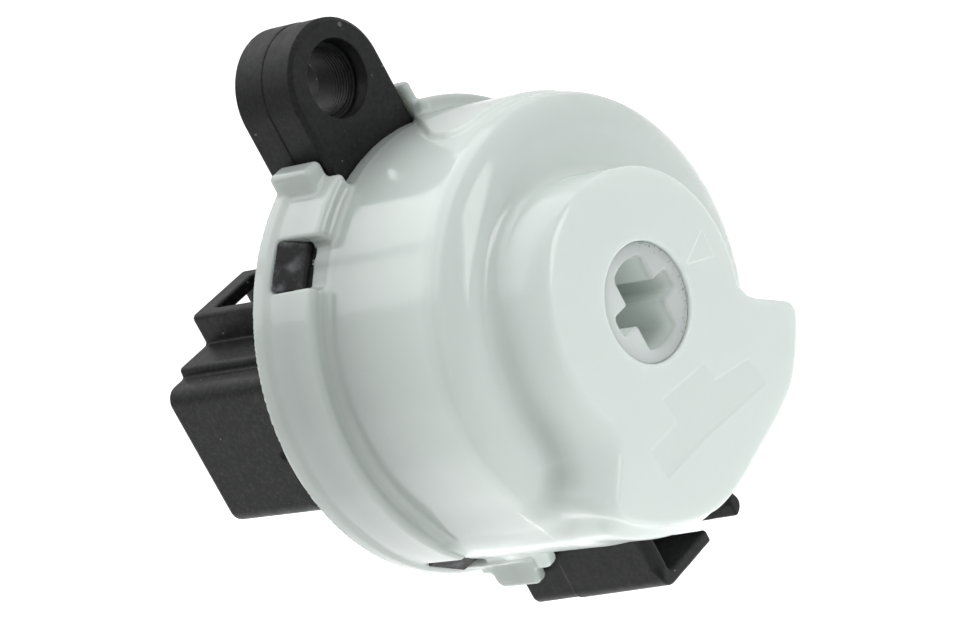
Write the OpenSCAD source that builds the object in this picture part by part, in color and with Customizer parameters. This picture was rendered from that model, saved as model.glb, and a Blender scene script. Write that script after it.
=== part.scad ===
// Ignition switch: a white turned cap on a black base with a screw ear, a hook arm
// and a rear connector. The rotor axis is the Y axis, the boss face lies at Y = 0,
// the front looks to -Y and the screw ear stands up along +Z.

/* [Housing] */
// Outer radius of the main wall
main_r = 20; // [19:0.1:22]
// Depth of the main face behind the boss face
main_face_y = 4.8; // [4:0.1:6]
// Rounding of the main wall's front edge
main_edge_r = 2.9; // [1:0.1:4]
// Outer radius of the boss around the rotor
boss_r = 12.25; // [11:0.05:13.5]
// Rounding of the boss's front edge
boss_edge_r = 0.9; // [0.3:0.1:1.4]
// Hollow rounding at the boss's foot
boss_foot_r = 1.8; // [0.5:0.1:2.4]
// Thickness of the front wall behind the main face
front_t = 2.8; // [2:0.1:4]
// Thickness of the main wall
wall_t = 2; // [1.5:0.1:2.4]
// Radial step from the main wall out to the flange band
band_h = 1.8; // [1:0.1:2.6]
// Depth of the flange band's front behind the boss face
band_y = 20.5; // [19.6:0.1:21]
// Length of the flange band in front of the rim
band_len = 6; // [5.6:0.1:7]
// Rounding of the flange band's front edge
band_edge_r = 0.7; // [0.3:0.1:0.9]
// Radial step from the flange band out to the rim
rim_h = 0.3; // [0.1:0.1:0.8]
// Length of the rim
rim_len = 1.4; // [1:0.1:2]

/* [Tail] */
// Gap between the tail's outer wall and the main wall's radius
tail_inset = 0.1; // [0.05:0.05:0.8]
// Direction of the tail's right side below the horizontal, in degrees
tail_right_deg = 36; // [20:1:50]
// Offset of the tail's right side from the rotor axis
tail_right_off = 1.3; // [0:0.1:4]
// Direction of the tail's left side below the horizontal, in degrees
tail_left_deg = 45; // [30:1:60]
// Offset of the tail's left side from the rotor axis
tail_left_off = 2; // [0:0.1:4]
// Rounding of the tail's right corner
tail_corner_r = 1.3; // [0.5:0.1:2]
// Width of the bevel along the tail's front edge
tail_bevel = 0.3; // [0.1:0.1:0.8]
// Height of the sole that carries the tail's wall back over the main wall
sole_h = 0.65; // [0.2:0.05:1]
// Depth of the sole's front behind the boss face
sole_y = 2; // [1:0.1:4]
// Side of the raised triangle mark on the boss
mark_w = 3; // [1.5:0.1:3.4]
// Distance of the mark's centre from the rotor axis
mark_dist = 8.8; // [7.8:0.1:9.4]
// Height of the raised mark
mark_h = 0.12; // [0.05:0.01:0.3]

/* [Snap windows] */
// Angle of the upper left window above the horizontal, in degrees
window_high_deg = 48.8; // [44:0.1:54]
// Angle of the lower left window below the horizontal, in degrees
window_low_deg = 51; // [44:0.1:52]
// Angle of the right windows above and below the horizontal, in degrees
window_right_deg = 30; // [20:0.1:36]
// Width of each window around the band
window_w = 4.9; // [4:0.1:6]
// Distance from the band's front to a window's opening in the wall
window_in = 2.3; // [2.1:0.1:3]
// Distance from the band's front to a window's rear end
window_len = 5.3; // [4.8:0.1:5.5]
// Gap between a barb and the window's sides
barb_gap = 0.12; // [0.05:0.01:0.3]
// Depth of a barb's top below the band
barb_drop = 0.5; // [0.2:0.1:1]
// Fall of a barb's ramp towards the front
barb_ramp = 1.2; // [0.2:0.1:1.6]

/* [Screw ear] */
// Height of the hole's centre above the rotor axis
ear_z = 27.1; // [26.4:0.05:30]
// Distance of the ear's round end below the hole's centre
ear_round_off = 0.4; // [0:0.1:1]
// Width of the ear
ear_w = 12.2; // [11:0.1:14]
// Thickness of the ear
ear_t = 7.2; // [5:0.1:9]
// Distance of the ear's front face ahead of the flange's rear
ear_lead = 5.6; // [4.5:0.1:6.2]
// Radius of the screw hole
ear_hole_r = 3.15; // [2.6:0.05:3.4]
// Radius of the hole's wider mouth
ear_mouth_r = 3.65; // [3.5:0.05:4.2]
// Depth of the hole's wider mouth
ear_mouth_d = 1.1; // [0.5:0.1:2]
// Gap between the ear and the housing's tabs
ear_gap = 0.1; // [0.05:0.01:0.3]
// Width of the ear tabs
tab_w = 2.3; // [1.5:0.1:3]
// Height of the ear tabs above the band
tab_h = 0.6; // [0.4:0.1:2]
// Length of the ear tabs along the axis
tab_len = 5.4; // [3:0.1:5.6]
// Distance of the ear tabs from the flange's rear
tab_back = 0.6; // [0.3:0.1:2]

/* [Hook arm] */
// Reach of the hook arm to the left of the axis
hook_left = 6.8; // [6:0.1:8]
// Reach of the hook arm to the right of the axis
hook_right = 6.4; // [6:0.1:8]
// Distance of the arm's root below the main wall
hook_drop = 6.4; // [5:0.1:8]
// Rise of the arm towards its front end, in degrees
hook_tilt = 2.2; // [0:0.1:3]
// Distance of the arm's front end behind the boss face
hook_front_y = 7.9; // [5:0.1:10]
// Length of the arm's root along the axis
hook_root = 2.6; // [2:0.1:3.5]
// Wall thickness of the arm
hook_t = 1.3; // [1:0.1:1.8]
// Clearance between the arm's sides and the sole
hook_gap = 0.5; // [0.3:0.1:1]
// Width of the slot in the arm's floor
hook_slot_w = 4.8; // [4.4:0.1:8]
// Length of that slot from the front end
hook_slot_len = 12; // [4:0.5:13]
// Rounding of the arm's lower edges
hook_edge_r = 1.2; // [0.4:0.1:1.6]
// Thickness of the cheeks beside the arm
cheek_t = 1.2; // [0.8:0.1:2]
// Distance of a cheek's underside below the axis
cheek_low = 21.3; // [20.6:0.1:22]
// Distance of a cheek's front ahead of the flange's rear
cheek_lead = 9.5; // [8:0.1:10]
// Height of the lug under a cheek
lug_h = 1.65; // [1:0.05:2.5]
// Length of that lug along the axis
lug_len = 6; // [4:0.1:6.4]
// Distance of that lug from the flange's rear
lug_back = 1.1; // [0.5:0.1:1.5]
// Rounding of the cheeks' and lugs' front corners
cheek_edge_r = 0.9; // [0.3:0.1:1.2]

/* [Base plate] */
// Step from the main wall's radius in to the plate's seat
seat_step = 0.1; // [0.05:0.05:0.4]
// Clearance of the plate in the housing
plate_gap = 0.08; // [0.03:0.01:0.2]
// Thickness of the base plate
plate_t = 5.4; // [4.5:0.1:5.6]
// Radius of the rotor's rear pin
pin_r = 2.4; // [2:0.1:3]
// Length of the rear pin inside the plate
pin_depth = 2.4; // [1.5:0.1:3]
// Radial running clearance of the rotor and the plungers
run_gap = 0.05; // [0.02:0.01:0.09]

/* [Connector] */
// Outer width of the connector
conn_w = 23.6; // [21:0.1:26]
// Height of the connector's bottom below the axis
conn_low = 11; // [10:0.1:12]
// Height of the connector's outer top above the axis
conn_top = 4; // [3.5:0.1:5]
// Width of the raised shoulder on the connector
shoulder_w = 17.6; // [15:0.1:19]
// Height of the raised shoulder
shoulder_h = 1; // [0.5:0.05:2]
// Width of the latch bridge
latch_w = 8.6; // [7.5:0.1:10]
// Height of the latch bridge above the shoulder
latch_h = 3.1; // [2:0.05:4]
// Length of the connector behind the flange
conn_len = 24.4; // [18:0.1:30]
// Wall thickness of the connector
conn_t = 1.3; // [1:0.1:1.6]
// Rounding of the connector's outer corners
conn_edge_r = 1.5; // [0.8:0.1:2]
// Rounding of the shoulder's and latch bridge's upper edges
latch_edge_r = 0.4; // [0.2:0.1:0.8]
// Width of the strap at the latch bridge's end
strap_w = 2.4; // [1.5:0.1:4]
// Length of the window in the latch bridge
strap_window = 9; // [5:0.5:14]

/* [Terminals] */
// Width of a blade
blade_w = 4.8; // [4:0.1:5.4]
// Thickness of a blade
blade_t = 0.8; // [0.6:0.1:1]
// Distance of the blades' tips inside the connector's mouth
blade_inset = 6; // [4:0.5:10]
// Sideways pitch of the blades
blade_pitch = 6.4; // [5.8:0.1:6.6]
// Height of the lower blade row below the axis
row_low = 7; // [6.4:0.1:7.2]
// Height of the upper blade row below the axis
row_high = 0.4; // [0.2:0.1:0.8]
// Length of a fixed contact in the radial direction
pad_len = 5.4; // [4.6:0.1:5.6]
// Width of the two side contacts
side_pad_w = 3.6; // [3:0.1:4]
// Gap between the starter contact and the rotor's rear pin
starter_gap = 1; // [0.8:0.1:1.4]
// Length of the starter contact
starter_len = 8.4; // [7:0.1:8.6]
// Thickness of a fixed contact
pad_t = 0.8; // [0.6:0.1:1]
// How far a fixed contact stands out of the plate
pad_proud = 0.4; // [0.2:0.1:0.5]
// Clearance around the terminals in the plate
pad_gap = 0.03; // [0.01:0.01:0.1]

/* [Rotor] */
// Radius of the rotor's shaft in the boss
rotor_r = 5.45; // [5.2:0.05:6]
// Depth of the rotor's face below the boss face
rotor_sink = 0.45; // [0.2:0.05:1.5]
// Reach of the drive socket's arms
socket_r = 4.2; // [3.8:0.1:4.4]
// Width of the socket's upright arms
socket_w = 4.2; // [3.6:0.1:4.6]
// Width of the socket's level arms
socket_h = 2; // [1.5:0.1:2.6]
// Depth of the drive socket
socket_d = 9; // [6:0.5:10]
// Radius of the rotor's collar
collar_r = 7.2; // [6.6:0.1:7.6]
// Length of the rotor's collar
collar_len = 4.1; // [3.8:0.1:4.6]
// Radius of the rotor's hub in the carrier
hub_r = 4.5; // [4:0.1:5]
// Outer radius of the thrust washer
washer_r = 8.6; // [8:0.1:10]
// Thickness of the thrust washer
washer_t = 0.5; // [0.3:0.1:0.8]
// Clearance of the washer around the rotor
washer_gap = 0.25; // [0.1:0.05:0.4]
// End play between the washer and the collar
end_play = 0.1; // [0.05:0.01:0.2]

/* [Return spring] */
// Mean radius of the return spring
return_r = 9; // [8.6:0.1:9.6]
// Wire diameter of the return spring
return_wire = 0.9; // [0.6:0.1:1]
// Turns of the return spring
return_turns = 2.5; // [2.5:1:3.5]
// Gap between the return spring's turns
return_gap = 0.07; // [0.05:0.01:0.15]
// Reach of the return spring's front leg from the axis
return_leg = 14; // [13.6:0.1:15]
// Reach of the return spring's rear leg from the axis
rear_leg = 12.6; // [12:0.1:13]
// Sideways lean of the return spring's legs, in degrees
leg_lean = 7.5; // [7:0.1:9]
// Radius of the post and the peg that the legs rest on
post_r = 0.8; // [0.6:0.1:0.9]
// Height of that post and that peg
post_h = 2.2; // [1.6:0.1:2.6]
// Gap between the legs and the post or peg
leg_gap = 0.1; // [0.05:0.05:0.3]

/* [Carrier] */
// Radius of the contact carrier
carrier_r = 14.2; // [13.8:0.1:14.4]
// Length of the contact carrier
carrier_len = 7.8; // [7.6:0.1:8]
// Gap between the collar and the carrier's hole
hub_gap = 0.02; // [0.01:0.01:0.05]
// Distance of the contact plates from the axis
plate_dist = 9.5; // [9.2:0.1:9.7]
// Length of a contact plate
contact_len = 10.6; // [9:0.1:11]
// Width of a contact plate
contact_w = 4.4; // [4:0.1:4.8]
// Thickness of a contact plate
contact_t = 1.2; // [0.8:0.1:1.4]
// Radius of a contact rivet's head
rivet_r = 1.3; // [1:0.1:1.6]
// Distance of a rivet's head from the contact plate's end
rivet_in = 0.4; // [0.2:0.1:0.8]
// Clearance of a contact plate in its recess
contact_gap = 0.3; // [0.2:0.05:0.5]
// Gap between the rivets and the fixed contacts at rest
air_gap = 0.15; // [0.1:0.05:0.3]
// Inward travel of a contact plate
contact_travel = 0.8; // [0.5:0.1:1]
// Room under a contact plate at the end of its travel
recess_spare = 0.2; // [0.1:0.05:0.4]
// Height of a contact rivet's head
rivet_h = 0.9; // [0.6:0.1:1.1]
// Mean radius of a contact spring
spring_r = 1.5; // [1.2:0.1:1.6]
// Wire diameter of a contact spring
spring_wire = 0.5; // [0.4:0.05:0.6]
// Clearance of a contact spring in its pocket
pocket_gap = 0.4; // [0.2:0.05:0.5]
// Length of a contact spring
spring_len = 5; // [4.5:0.1:5.5]
// Turns of a contact spring
spring_turns = 5; // [4:1:6]

/* [Detents] */
// Radius of a detent plunger
plunger_r = 1.6; // [1.4:0.1:1.8]
// Length of a detent plunger
plunger_len = 6; // [5:0.1:6.4]
// Gap between a plunger's tip and the detent ring at rest
tip_gap = 0.3; // [0.25:0.05:0.4]
// Outward travel of a plunger
plunger_travel = 0.6; // [0.4:0.1:0.8]
// Radial gap between the carrier and the detent ring
ring_gap = 1.1; // [0.6:0.1:1.3]
// Distance of the detent ring behind the carrier's front
ring_in = 2; // [1.6:0.1:2.2]
// Width of the detent ring along the axis
ring_w = 4.6; // [4.4:0.1:5]
// Depth of a notch in the detent ring
notch_d = 1.2; // [1:0.1:1.5]
// Clearance of a plunger in a notch
notch_gap = 0.35; // [0.3:0.05:0.5]
// Mean radius of a detent spring
detent_spring_r = 1; // [0.8:0.1:1.1]
// Wire diameter of a detent spring
detent_wire = 0.4; // [0.3:0.05:0.5]
// Length of a detent spring
detent_spring_len = 2.7; // [2.2:0.1:3]
// Turns of a detent spring
detent_turns = 4; // [3:1:5]

/* [Hidden] */

white = "#dfe6e2";
black = "#26272a";
copper = "#b5713f";
steel = "#b9bdc2";
tin = "#c9c7bf";
nylon = "#d8d2c0";

// Overrun of a cut past the face that it opens
over = 1;
// Overlap of shapes that make one piece
weld = 0.01;
// Depth to which the barbs and the arm root in the plate
root = 2;
// Steps of a rounded corner
steps = 8;
// Rotor angles at which the plungers drop into notches
detent_deg = [0, 50, 85, 115];
// Rest angles of the contact plates and of the plungers
contact_deg = [90, 210, 330];
plunger_deg = [0, 180];
// Angle at which the return spring's front leg leaves its coil
return_deg = 200;

// Housing
band_r = main_r + band_h;
rim_r = band_r + rim_h;
rim_y = band_y + band_len;
rear_y = rim_y + rim_len;
front_wall_y = main_face_y + front_t;
cavity_r = main_r - wall_t;
tail_r = main_r - tail_inset;
sole_r = main_r + sole_h;

// Base plate
plate_y = rear_y - plate_t;
seat_r = main_r - seat_step;
plate_r = seat_r - plate_gap;
ear_y0 = rear_y - ear_lead;
ear_y1 = ear_y0 + ear_t;
ear_half = ear_w / 2;
ear_end_z = ear_z - ear_round_off;
hook_low = main_r + hook_drop;
hook_root_y = plate_y + hook_root;
window_y = band_y + window_in;
window_deg = [180 - window_high_deg, 180 + window_low_deg, window_right_deg, -window_right_deg];
window_end_y = band_y + window_len;

// Rotor and carrier
washer_y = front_wall_y;
collar_y = washer_y + washer_t + end_play;
carrier_y = collar_y + collar_len;
carrier_end_y = carrier_y + carrier_len;
pin_end_y = plate_y + pin_depth;
bore_r = rotor_r + run_gap;
ring_r = carrier_r + ring_gap;
ring_y = carrier_y + ring_in;

// Contacts
pad_y = plate_y - pad_proud;
rivet_y = pad_y - air_gap;
contact_end_y = rivet_y - rivet_h;
contact_y = contact_end_y - contact_t;
recess_y = contact_y - contact_travel - recess_spare;
pocket_r = spring_r + spring_wire / 2 + pocket_gap;
pocket_y = contact_y - spring_len;

// Return spring, with the point of each leg that its post or peg meets
return_y = collar_y + return_wire / 2;
return_pitch = return_wire + return_gap;
return_end_y = return_y + return_pitch * return_turns;
return_end_deg = return_deg - 360 * return_turns;
post_dist = return_leg - post_r;
peg_dist = rear_leg - post_r;
post_off = post_r + return_wire / 2 + leg_gap;
front_lean = lean_at(post_dist, return_leg);
rear_lean = lean_at(peg_dist, rear_leg);

// Plungers
tip_r = ring_r - tip_gap;
plunger_in_r = tip_r - plunger_len;
pit_r = plunger_in_r - detent_spring_len;

// Connector
mouth_y = rear_y + conn_len;
conn_half = conn_w / 2;
shoulder_z = conn_top + shoulder_h;
latch_z = shoulder_z + latch_h;
blade_y = mouth_y - blade_inset;

// Angle of a leg at a distance from the axis, from where it leaves the coil
function lean_at(dist, leg) = leg_lean * (dist - return_r) / (leg - return_r);

// Angle that a width takes up at a distance from the axis
function width_deg(width, dist) = width / dist * 180 / PI;

function arc(cx, cy, r, a0, a1) =
    [for (i = [0:steps]) let (a = a0 + (a1 - a0) * i / steps)
        [cx + r * cos(a), cy + r * sin(a)]];

function round_box(x0, x1, y0, y1, r) = concat(
    arc(x1 - r, y0 + r, r, -90, 0), arc(x1 - r, y1 - r, r, 0, 90),
    arc(x0 + r, y1 - r, r, 90, 180), arc(x0 + r, y0 + r, r, 180, 270));

// Points and faces of a round wire swept along a path
function wire_ring(path, i, r, sides) =
    let (
        a = path[max(i - 1, 0)],
        b = path[min(i + 1, len(path) - 1)],
        t = (b - a) / norm(b - a),
        up = abs(t[2]) < 0.9 ? [0, 0, 1] : [1, 0, 0],
        u = cross(t, up) / norm(cross(t, up)),
        v = cross(t, u)
    )
    [for (k = [0:sides - 1]) let (w = 360 * k / sides)
        path[i] + r * (cos(w) * u + sin(w) * v)];

function wire_faces(n, sides) = concat(
    [[for (k = [0:sides - 1]) k]],
    [for (i = [0:n - 2], k = [0:sides - 1])
        [i * sides + k, (i + 1) * sides + k, (i + 1) * sides + (k + 1) % sides]],
    [for (i = [0:n - 2], k = [0:sides - 1])
        [i * sides + k, (i + 1) * sides + (k + 1) % sides, i * sides + (k + 1) % sides]],
    [[for (k = [sides - 1:-1:0]) (n - 1) * sides + k]]);

// Extrudes a shape drawn in X and Z from y0 to y1
module prism(y0, y1) {
    translate([0, y1, 0])
        rotate([90, 0, 0])
            linear_extrude(y1 - y0)
                children();
}

// Turns a profile of radius and depth about the rotor axis
module turned(points) {
    rotate([-90, 0, 0])
        rotate_extrude($fn = 96)
            polygon(points);
}

// A round bar along the rotor axis
module bar(r, y0, y1) {
    translate([0, y0, 0])
        rotate([-90, 0, 0])
            cylinder(r = r, h = y1 - y0, $fn = 64);
}

// Turns the X axis to an angle seen from the front
module spoke(deg) {
    rotate([0, -deg, 0])
        children();
}

// A box between two corners
module block(low, high) {
    translate(low)
        cube(high - low);
}

module wire(path, r, sides = 8) {
    polyhedron(
        points = [for (i = [0:len(path) - 1], p = wire_ring(path, i, r, sides)) p],
        faces = wire_faces(len(path), sides),
        convexity = 10);
}

// Outer form of the cap, from the boss to the rim
module cap_form() {
    turned(concat(
        [[0, 0]],
        arc(boss_r - boss_edge_r, boss_edge_r, boss_edge_r, -90, 0),
        arc(boss_r + boss_foot_r, main_face_y - boss_foot_r, boss_foot_r, 180, 90),
        arc(main_r - main_edge_r, main_face_y + main_edge_r, main_edge_r, -90, 0),
        [[main_r, band_y]],
        arc(band_r - band_edge_r, band_y + band_edge_r, band_edge_r, -90, 0),
        [[band_r, rim_y], [rim_r, rim_y], [rim_r, rear_y], [0, rear_y]]));
}

// Directions of the tail's two sides, and their outward normals
tail_right = [cos(tail_right_deg), -sin(tail_right_deg)];
tail_right_n = [-tail_right[1], tail_right[0]];
tail_left = [-cos(tail_left_deg), -sin(tail_left_deg)];
tail_left_n = [tail_left[1], -tail_left[0]];

// Wedge between the tail's two sides, drawn in by an inset
module tail_wedge(inset) {
    reach = 2 * main_r;
    start_r = tail_right_n * (tail_right_off - inset);
    start_l = tail_left_n * (tail_left_off - inset);
    polygon([start_r, start_r + tail_right * reach, [0, -reach],
        start_l + tail_left * reach, start_l, [0, boss_r / 2]]);
}

// Outline of the raised tail, with its right corner rounded
module tail_outline(inset) {
    reach = 2 * main_r;
    r = tail_r - inset;
    c = tail_corner_r;
    off = tail_right_off - inset - c;
    run = sqrt(pow(r - c, 2) - off * off);
    corner = tail_right * run + tail_right_n * off;
    foot = tail_right * run + tail_right_n * (off + c);
    intersection() {
        circle(r = r, $fn = 96);
        tail_wedge(inset);
        union() {
            translate(corner)
                circle(r = c, $fn = 48);
            polygon([[0, boss_r / 2], foot - tail_right * run, foot, corner,
                corner + corner / norm(corner) * 2 * c,
                [reach, -reach], [-reach, -reach], [-reach, 0]]);
        }
    }
}

module tail() {
    prism(tail_bevel, front_wall_y)
        tail_outline(0);
    prism(0, tail_bevel + weld)
        tail_outline(tail_bevel);
    prism(sole_y, band_y + band_edge_r)
        intersection() {
            circle(r = sole_r, $fn = 96);
            tail_wedge(sole_h);
        }
}

// Extrudes a shape drawn in Y and Z from x0 to x1
module flank(x0, x1) {
    translate([x0, 0, 0])
        rotate([90, 0, 90])
            linear_extrude(x1 - x0)
                children();
}

// Tabs that hold the ear on both flanks
module ear_tabs(cut) {
    y0 = rear_y - tab_back - tab_len;
    y1 = rear_y - tab_back;
    for (x = [-cut - tab_w, cut])
        block([x, y0, main_r - wall_t], [x + tab_w, y1, band_r + tab_h]);
}

// Side view of a cheek beside the hook arm, with the lug under it
module cheek_outline() {
    r = cheek_edge_r;
    front = rear_y - cheek_lead;
    lug_y = rear_y - lug_back;
    lug_z = -cheek_low - lug_h;
    polygon(concat(
        [[rear_y, -cavity_r], [front, -cavity_r]],
        arc(front + r, -cheek_low + r, r, 180, 270),
        [[rear_y, -cheek_low]]));
    polygon(concat(
        [[lug_y, -cavity_r], [lug_y - lug_len, -cavity_r]],
        arc(lug_y - lug_len + r, lug_z + r, r, 180, 270),
        [[lug_y, lug_z]]));
}

// Post in the housing that the return spring's front leg rests on
module spring_post() {
    spoke(return_deg + front_lean - width_deg(post_off, post_dist))
        translate([post_dist, 0, 0])
            bar(post_r, front_wall_y - over, front_wall_y + post_h);
}

module front_housing() {
    ear_cut = ear_half + ear_gap;
    hook_cut_l = hook_left + ear_gap;
    hook_cut_r = hook_right + ear_gap;
    color(white)
        difference() {
            union() {
                cap_form();
                tail();
                ear_tabs(ear_cut);
                for (x = [-hook_cut_l - cheek_t, hook_cut_r])
                    flank(x, x + cheek_t)
                        cheek_outline();
                translate([mark_dist, 0, 0])
                    prism(-mark_h, over)
                        rotate(180)
                            circle(r = mark_w / sqrt(3), $fn = 3);
            }
            // Inside, with the detent ring and the spring's post left standing
            difference() {
                turned([
                    [0, front_wall_y], [cavity_r, front_wall_y], [cavity_r, ring_y],
                    [ring_r, ring_y], [ring_r, ring_y + ring_w], [cavity_r, ring_y + ring_w],
                    [cavity_r, plate_y], [seat_r, plate_y], [seat_r, rear_y + over],
                    [0, rear_y + over]]);
                spring_post();
            }
            bar(bore_r, -over, front_wall_y + over);
            // Notches for the plungers
            for (p = plunger_deg, d = detent_deg)
                spoke(p - d)
                    translate([ring_r - over, ring_y + ring_w / 2, 0])
                        rotate([0, 90, 0])
                            cylinder(r = plunger_r + notch_gap, h = notch_d + over, $fn = 48);
            // Snap windows
            for (deg = window_deg)
                spoke(deg) {
                    block([main_r, band_y - over, -window_w / 2],
                        [rim_r + over, window_end_y, window_w / 2]);
                    block([cavity_r - over, window_y, -window_w / 2],
                        [rim_r + over, window_end_y, window_w / 2]);
                }
            // Openings for the ear and the hook arm
            block([-ear_cut, ear_y0 - ear_gap, cavity_r - over],
                [ear_cut, rear_y + over, rim_r + 2 * over + tab_h]);
            block([-hook_cut_l, plate_y - ear_gap, -hook_low - over],
                [hook_cut_r, rear_y + over, -cavity_r + over]);
            difference() {
                union() {
                    block([-ear_cut, band_y - over, 0],
                        [ear_cut, rear_y, rim_r + 2 * over + tab_h]);
                    block([-hook_cut_l, band_y - weld, -hook_low - over],
                        [hook_cut_r, rear_y, 0]);
                }
                bar(main_r, 0, rear_y + over);
            }
        }
}

// Upright plate with a round top and the screw hole
module ear() {
    difference() {
        union() {
            block([-ear_half, ear_y0, main_r - wall_t], [ear_half, ear_y1, ear_end_z]);
            translate([0, 0, ear_end_z])
                bar(ear_half, ear_y0, ear_y1);
        }
        translate([0, 0, ear_z])
            bar(ear_hole_r, ear_y0 - over, ear_y1 + over);
        translate([0, 0, ear_z])
            bar(ear_mouth_r, ear_y0 - over, ear_y0 + ear_mouth_d);
    }
}

// Channel that runs forward under the main wall from its root on the plate
module hook_arm() {
    slot_x1 = hook_right - hook_t;
    difference() {
        intersection() {
            hook_lean()
                difference() {
                    prism(hook_front_y - over, hook_root_y + over)
                        hook_outline(-plate_r + root);
                    block([-hook_left + hook_t, hook_front_y - 2 * over, -hook_low + hook_t],
                        [slot_x1, plate_y, 0]);
                }
            block([-hook_left, hook_front_y, -hook_low - over], [hook_right, hook_root_y, 0]);
        }
        block([slot_x1 - hook_slot_w, hook_front_y - over, -hook_low - over],
            [slot_x1, hook_front_y + hook_slot_len, 0]);
        bar(sole_r + hook_gap, 0, plate_y);
    }
}

// Leans the arm up towards its front end, about its root's lower edge
module hook_lean() {
    translate([0, hook_root_y, -hook_low])
        rotate([-hook_tilt, 0, 0])
            translate([0, -hook_root_y, hook_low])
                children();
}

// Outline of the arm with its two lower edges rounded
module hook_outline(top) {
    r = hook_edge_r;
    polygon(concat(
        arc(-hook_left + r, -hook_low + r, r, 180, 270),
        arc(hook_right - r, -hook_low + r, r, 270, 360),
        [[hook_right, top], [-hook_left, top]]));
}

// Outline of the connector, drawn in or out by a wall thickness
module connector_outline(inset) {
    r = max(conn_edge_r - inset, latch_edge_r / 2);
    union() {
        polygon(round_box(-conn_half + inset, conn_half - inset,
            -conn_low + inset, conn_top - inset, r));
        polygon(round_box(-shoulder_w / 2 + inset, shoulder_w / 2 - inset,
            -conn_low / 2, shoulder_z - inset, latch_edge_r));
        polygon(round_box(-latch_w / 2 + inset, latch_w / 2 - inset,
            -conn_low / 2, latch_z - inset, latch_edge_r));
    }
}

module connector() {
    window_half = latch_w / 2 - conn_t;
    difference() {
        prism(rear_y - over, mouth_y)
            connector_outline(0);
        prism(rear_y, mouth_y + over)
            connector_outline(conn_t);
        block([-window_half, mouth_y - strap_w - strap_window, shoulder_z],
            [window_half, mouth_y - strap_w, latch_z + over]);
    }
}

module barbs() {
    half = window_w / 2 - barb_gap;
    top = band_r - barb_drop;
    y0 = window_y + barb_gap;
    y1 = window_end_y - barb_gap;
    for (deg = window_deg)
        spoke(deg)
            translate([0, 0, -half])
                linear_extrude(2 * half)
                    polygon([[plate_r - root, y0], [top - barb_ramp, y0],
                        [top, y1], [plate_r - root, y1]]);
}

module rear_base() {
    color(black)
        difference() {
            union() {
                difference() {
                    bar(plate_r, plate_y, rear_y);
                    bar(pin_r + run_gap, plate_y - over, pin_end_y + run_gap);
                }
                ear();
                hook_arm();
                connector();
                barbs();
            }
            for (i = [0:5])
                terminal_form(i, pad_gap);
        }
}

module rotor() {
    color(white)
        difference() {
            union() {
                bar(rotor_r, rotor_sink, collar_y + weld);
                bar(collar_r, collar_y, carrier_y);
                bar(hub_r, carrier_y - weld, carrier_end_y);
                bar(pin_r, carrier_end_y - weld, pin_end_y);
            }
            prism(rotor_sink - over, rotor_sink + socket_d)
                intersection() {
                    circle(r = socket_r, $fn = 64);
                    union() {
                        square([socket_w, 3 * socket_r], center = true);
                        square([3 * socket_r, socket_h], center = true);
                    }
                }
        }
}

module thrust_washer() {
    color(steel)
        difference() {
            bar(washer_r, washer_y, washer_y + washer_t);
            bar(rotor_r + washer_gap, washer_y - over, washer_y + washer_t + over);
        }
}

module return_spring() {
    seg = 20;
    coil = [for (i = [0:return_turns * seg]) let (a = return_deg - 360 * i / seg)
        [return_r * cos(a), return_y + return_pitch * i / seg, return_r * sin(a)]];
    front = return_deg + leg_lean;
    rear = return_end_deg - leg_lean;
    front_end = [return_leg * cos(front), return_y, return_leg * sin(front)];
    rear_end = [rear_leg * cos(rear), return_end_y, rear_leg * sin(rear)];
    color(steel)
        wire(concat([front_end], coil, [rear_end]), return_wire / 2);
}

module contact_carrier() {
    color(black)
        difference() {
            union() {
                bar(carrier_r, carrier_y, carrier_end_y);
                // Peg that turns the return spring's rear leg
                spoke(return_end_deg - rear_lean + width_deg(post_off, peg_dist))
                    translate([peg_dist, 0, 0])
                        bar(post_r, carrier_y - post_h, carrier_y + over);
            }
            bar(hub_r + hub_gap, carrier_y - over, carrier_end_y + over);
            for (a = contact_deg)
                spoke(a) {
                    block([plate_dist - contact_w / 2 - contact_gap, recess_y,
                            -contact_len / 2 - contact_gap],
                        [plate_dist + contact_w / 2 + contact_gap, carrier_end_y + over,
                            contact_len / 2 + contact_gap]);
                    translate([plate_dist, 0, 0])
                        bar(pocket_r, pocket_y, recess_y + over);
                }
            for (a = plunger_deg)
                spoke(a)
                    translate([pit_r, ring_y + ring_w / 2, 0])
                        rotate([0, 90, 0])
                            cylinder(r = plunger_r + run_gap, h = carrier_r, $fn = 48);
        }
}

module contact_plate(i) {
    color(copper)
        spoke(contact_deg[i]) {
            block([plate_dist - contact_w / 2, contact_y, -contact_len / 2],
                [plate_dist + contact_w / 2, contact_end_y, contact_len / 2]);
            for (side = [-1, 1])
                translate([plate_dist, 0, side * (contact_len / 2 - rivet_r - rivet_in)])
                    bar(rivet_r, contact_end_y - weld, rivet_y);
        }
}

module contact_plate_a() { contact_plate(0); }
module contact_plate_b() { contact_plate(1); }
module contact_plate_c() { contact_plate(2); }

// A coil along +X from the origin, its end turns lying flat
function coil_path(r, wire_d, length, turns) =
    let (seg = 14, n = turns * seg, span = length - wire_d)
    [for (i = [0:n]) let (f = i / n, a = 360 * i / seg)
        [wire_d / 2 + span * f, r * cos(a), r * sin(a)]];

module contact_spring(i) {
    color(steel)
        spoke(contact_deg[i])
            translate([plate_dist, pocket_y, 0])
                rotate([0, 0, 90])
                    wire(coil_path(spring_r, spring_wire, spring_len, spring_turns),
                        spring_wire / 2, 6);
}

module contact_spring_a() { contact_spring(0); }
module contact_spring_b() { contact_spring(1); }
module contact_spring_c() { contact_spring(2); }

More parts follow.
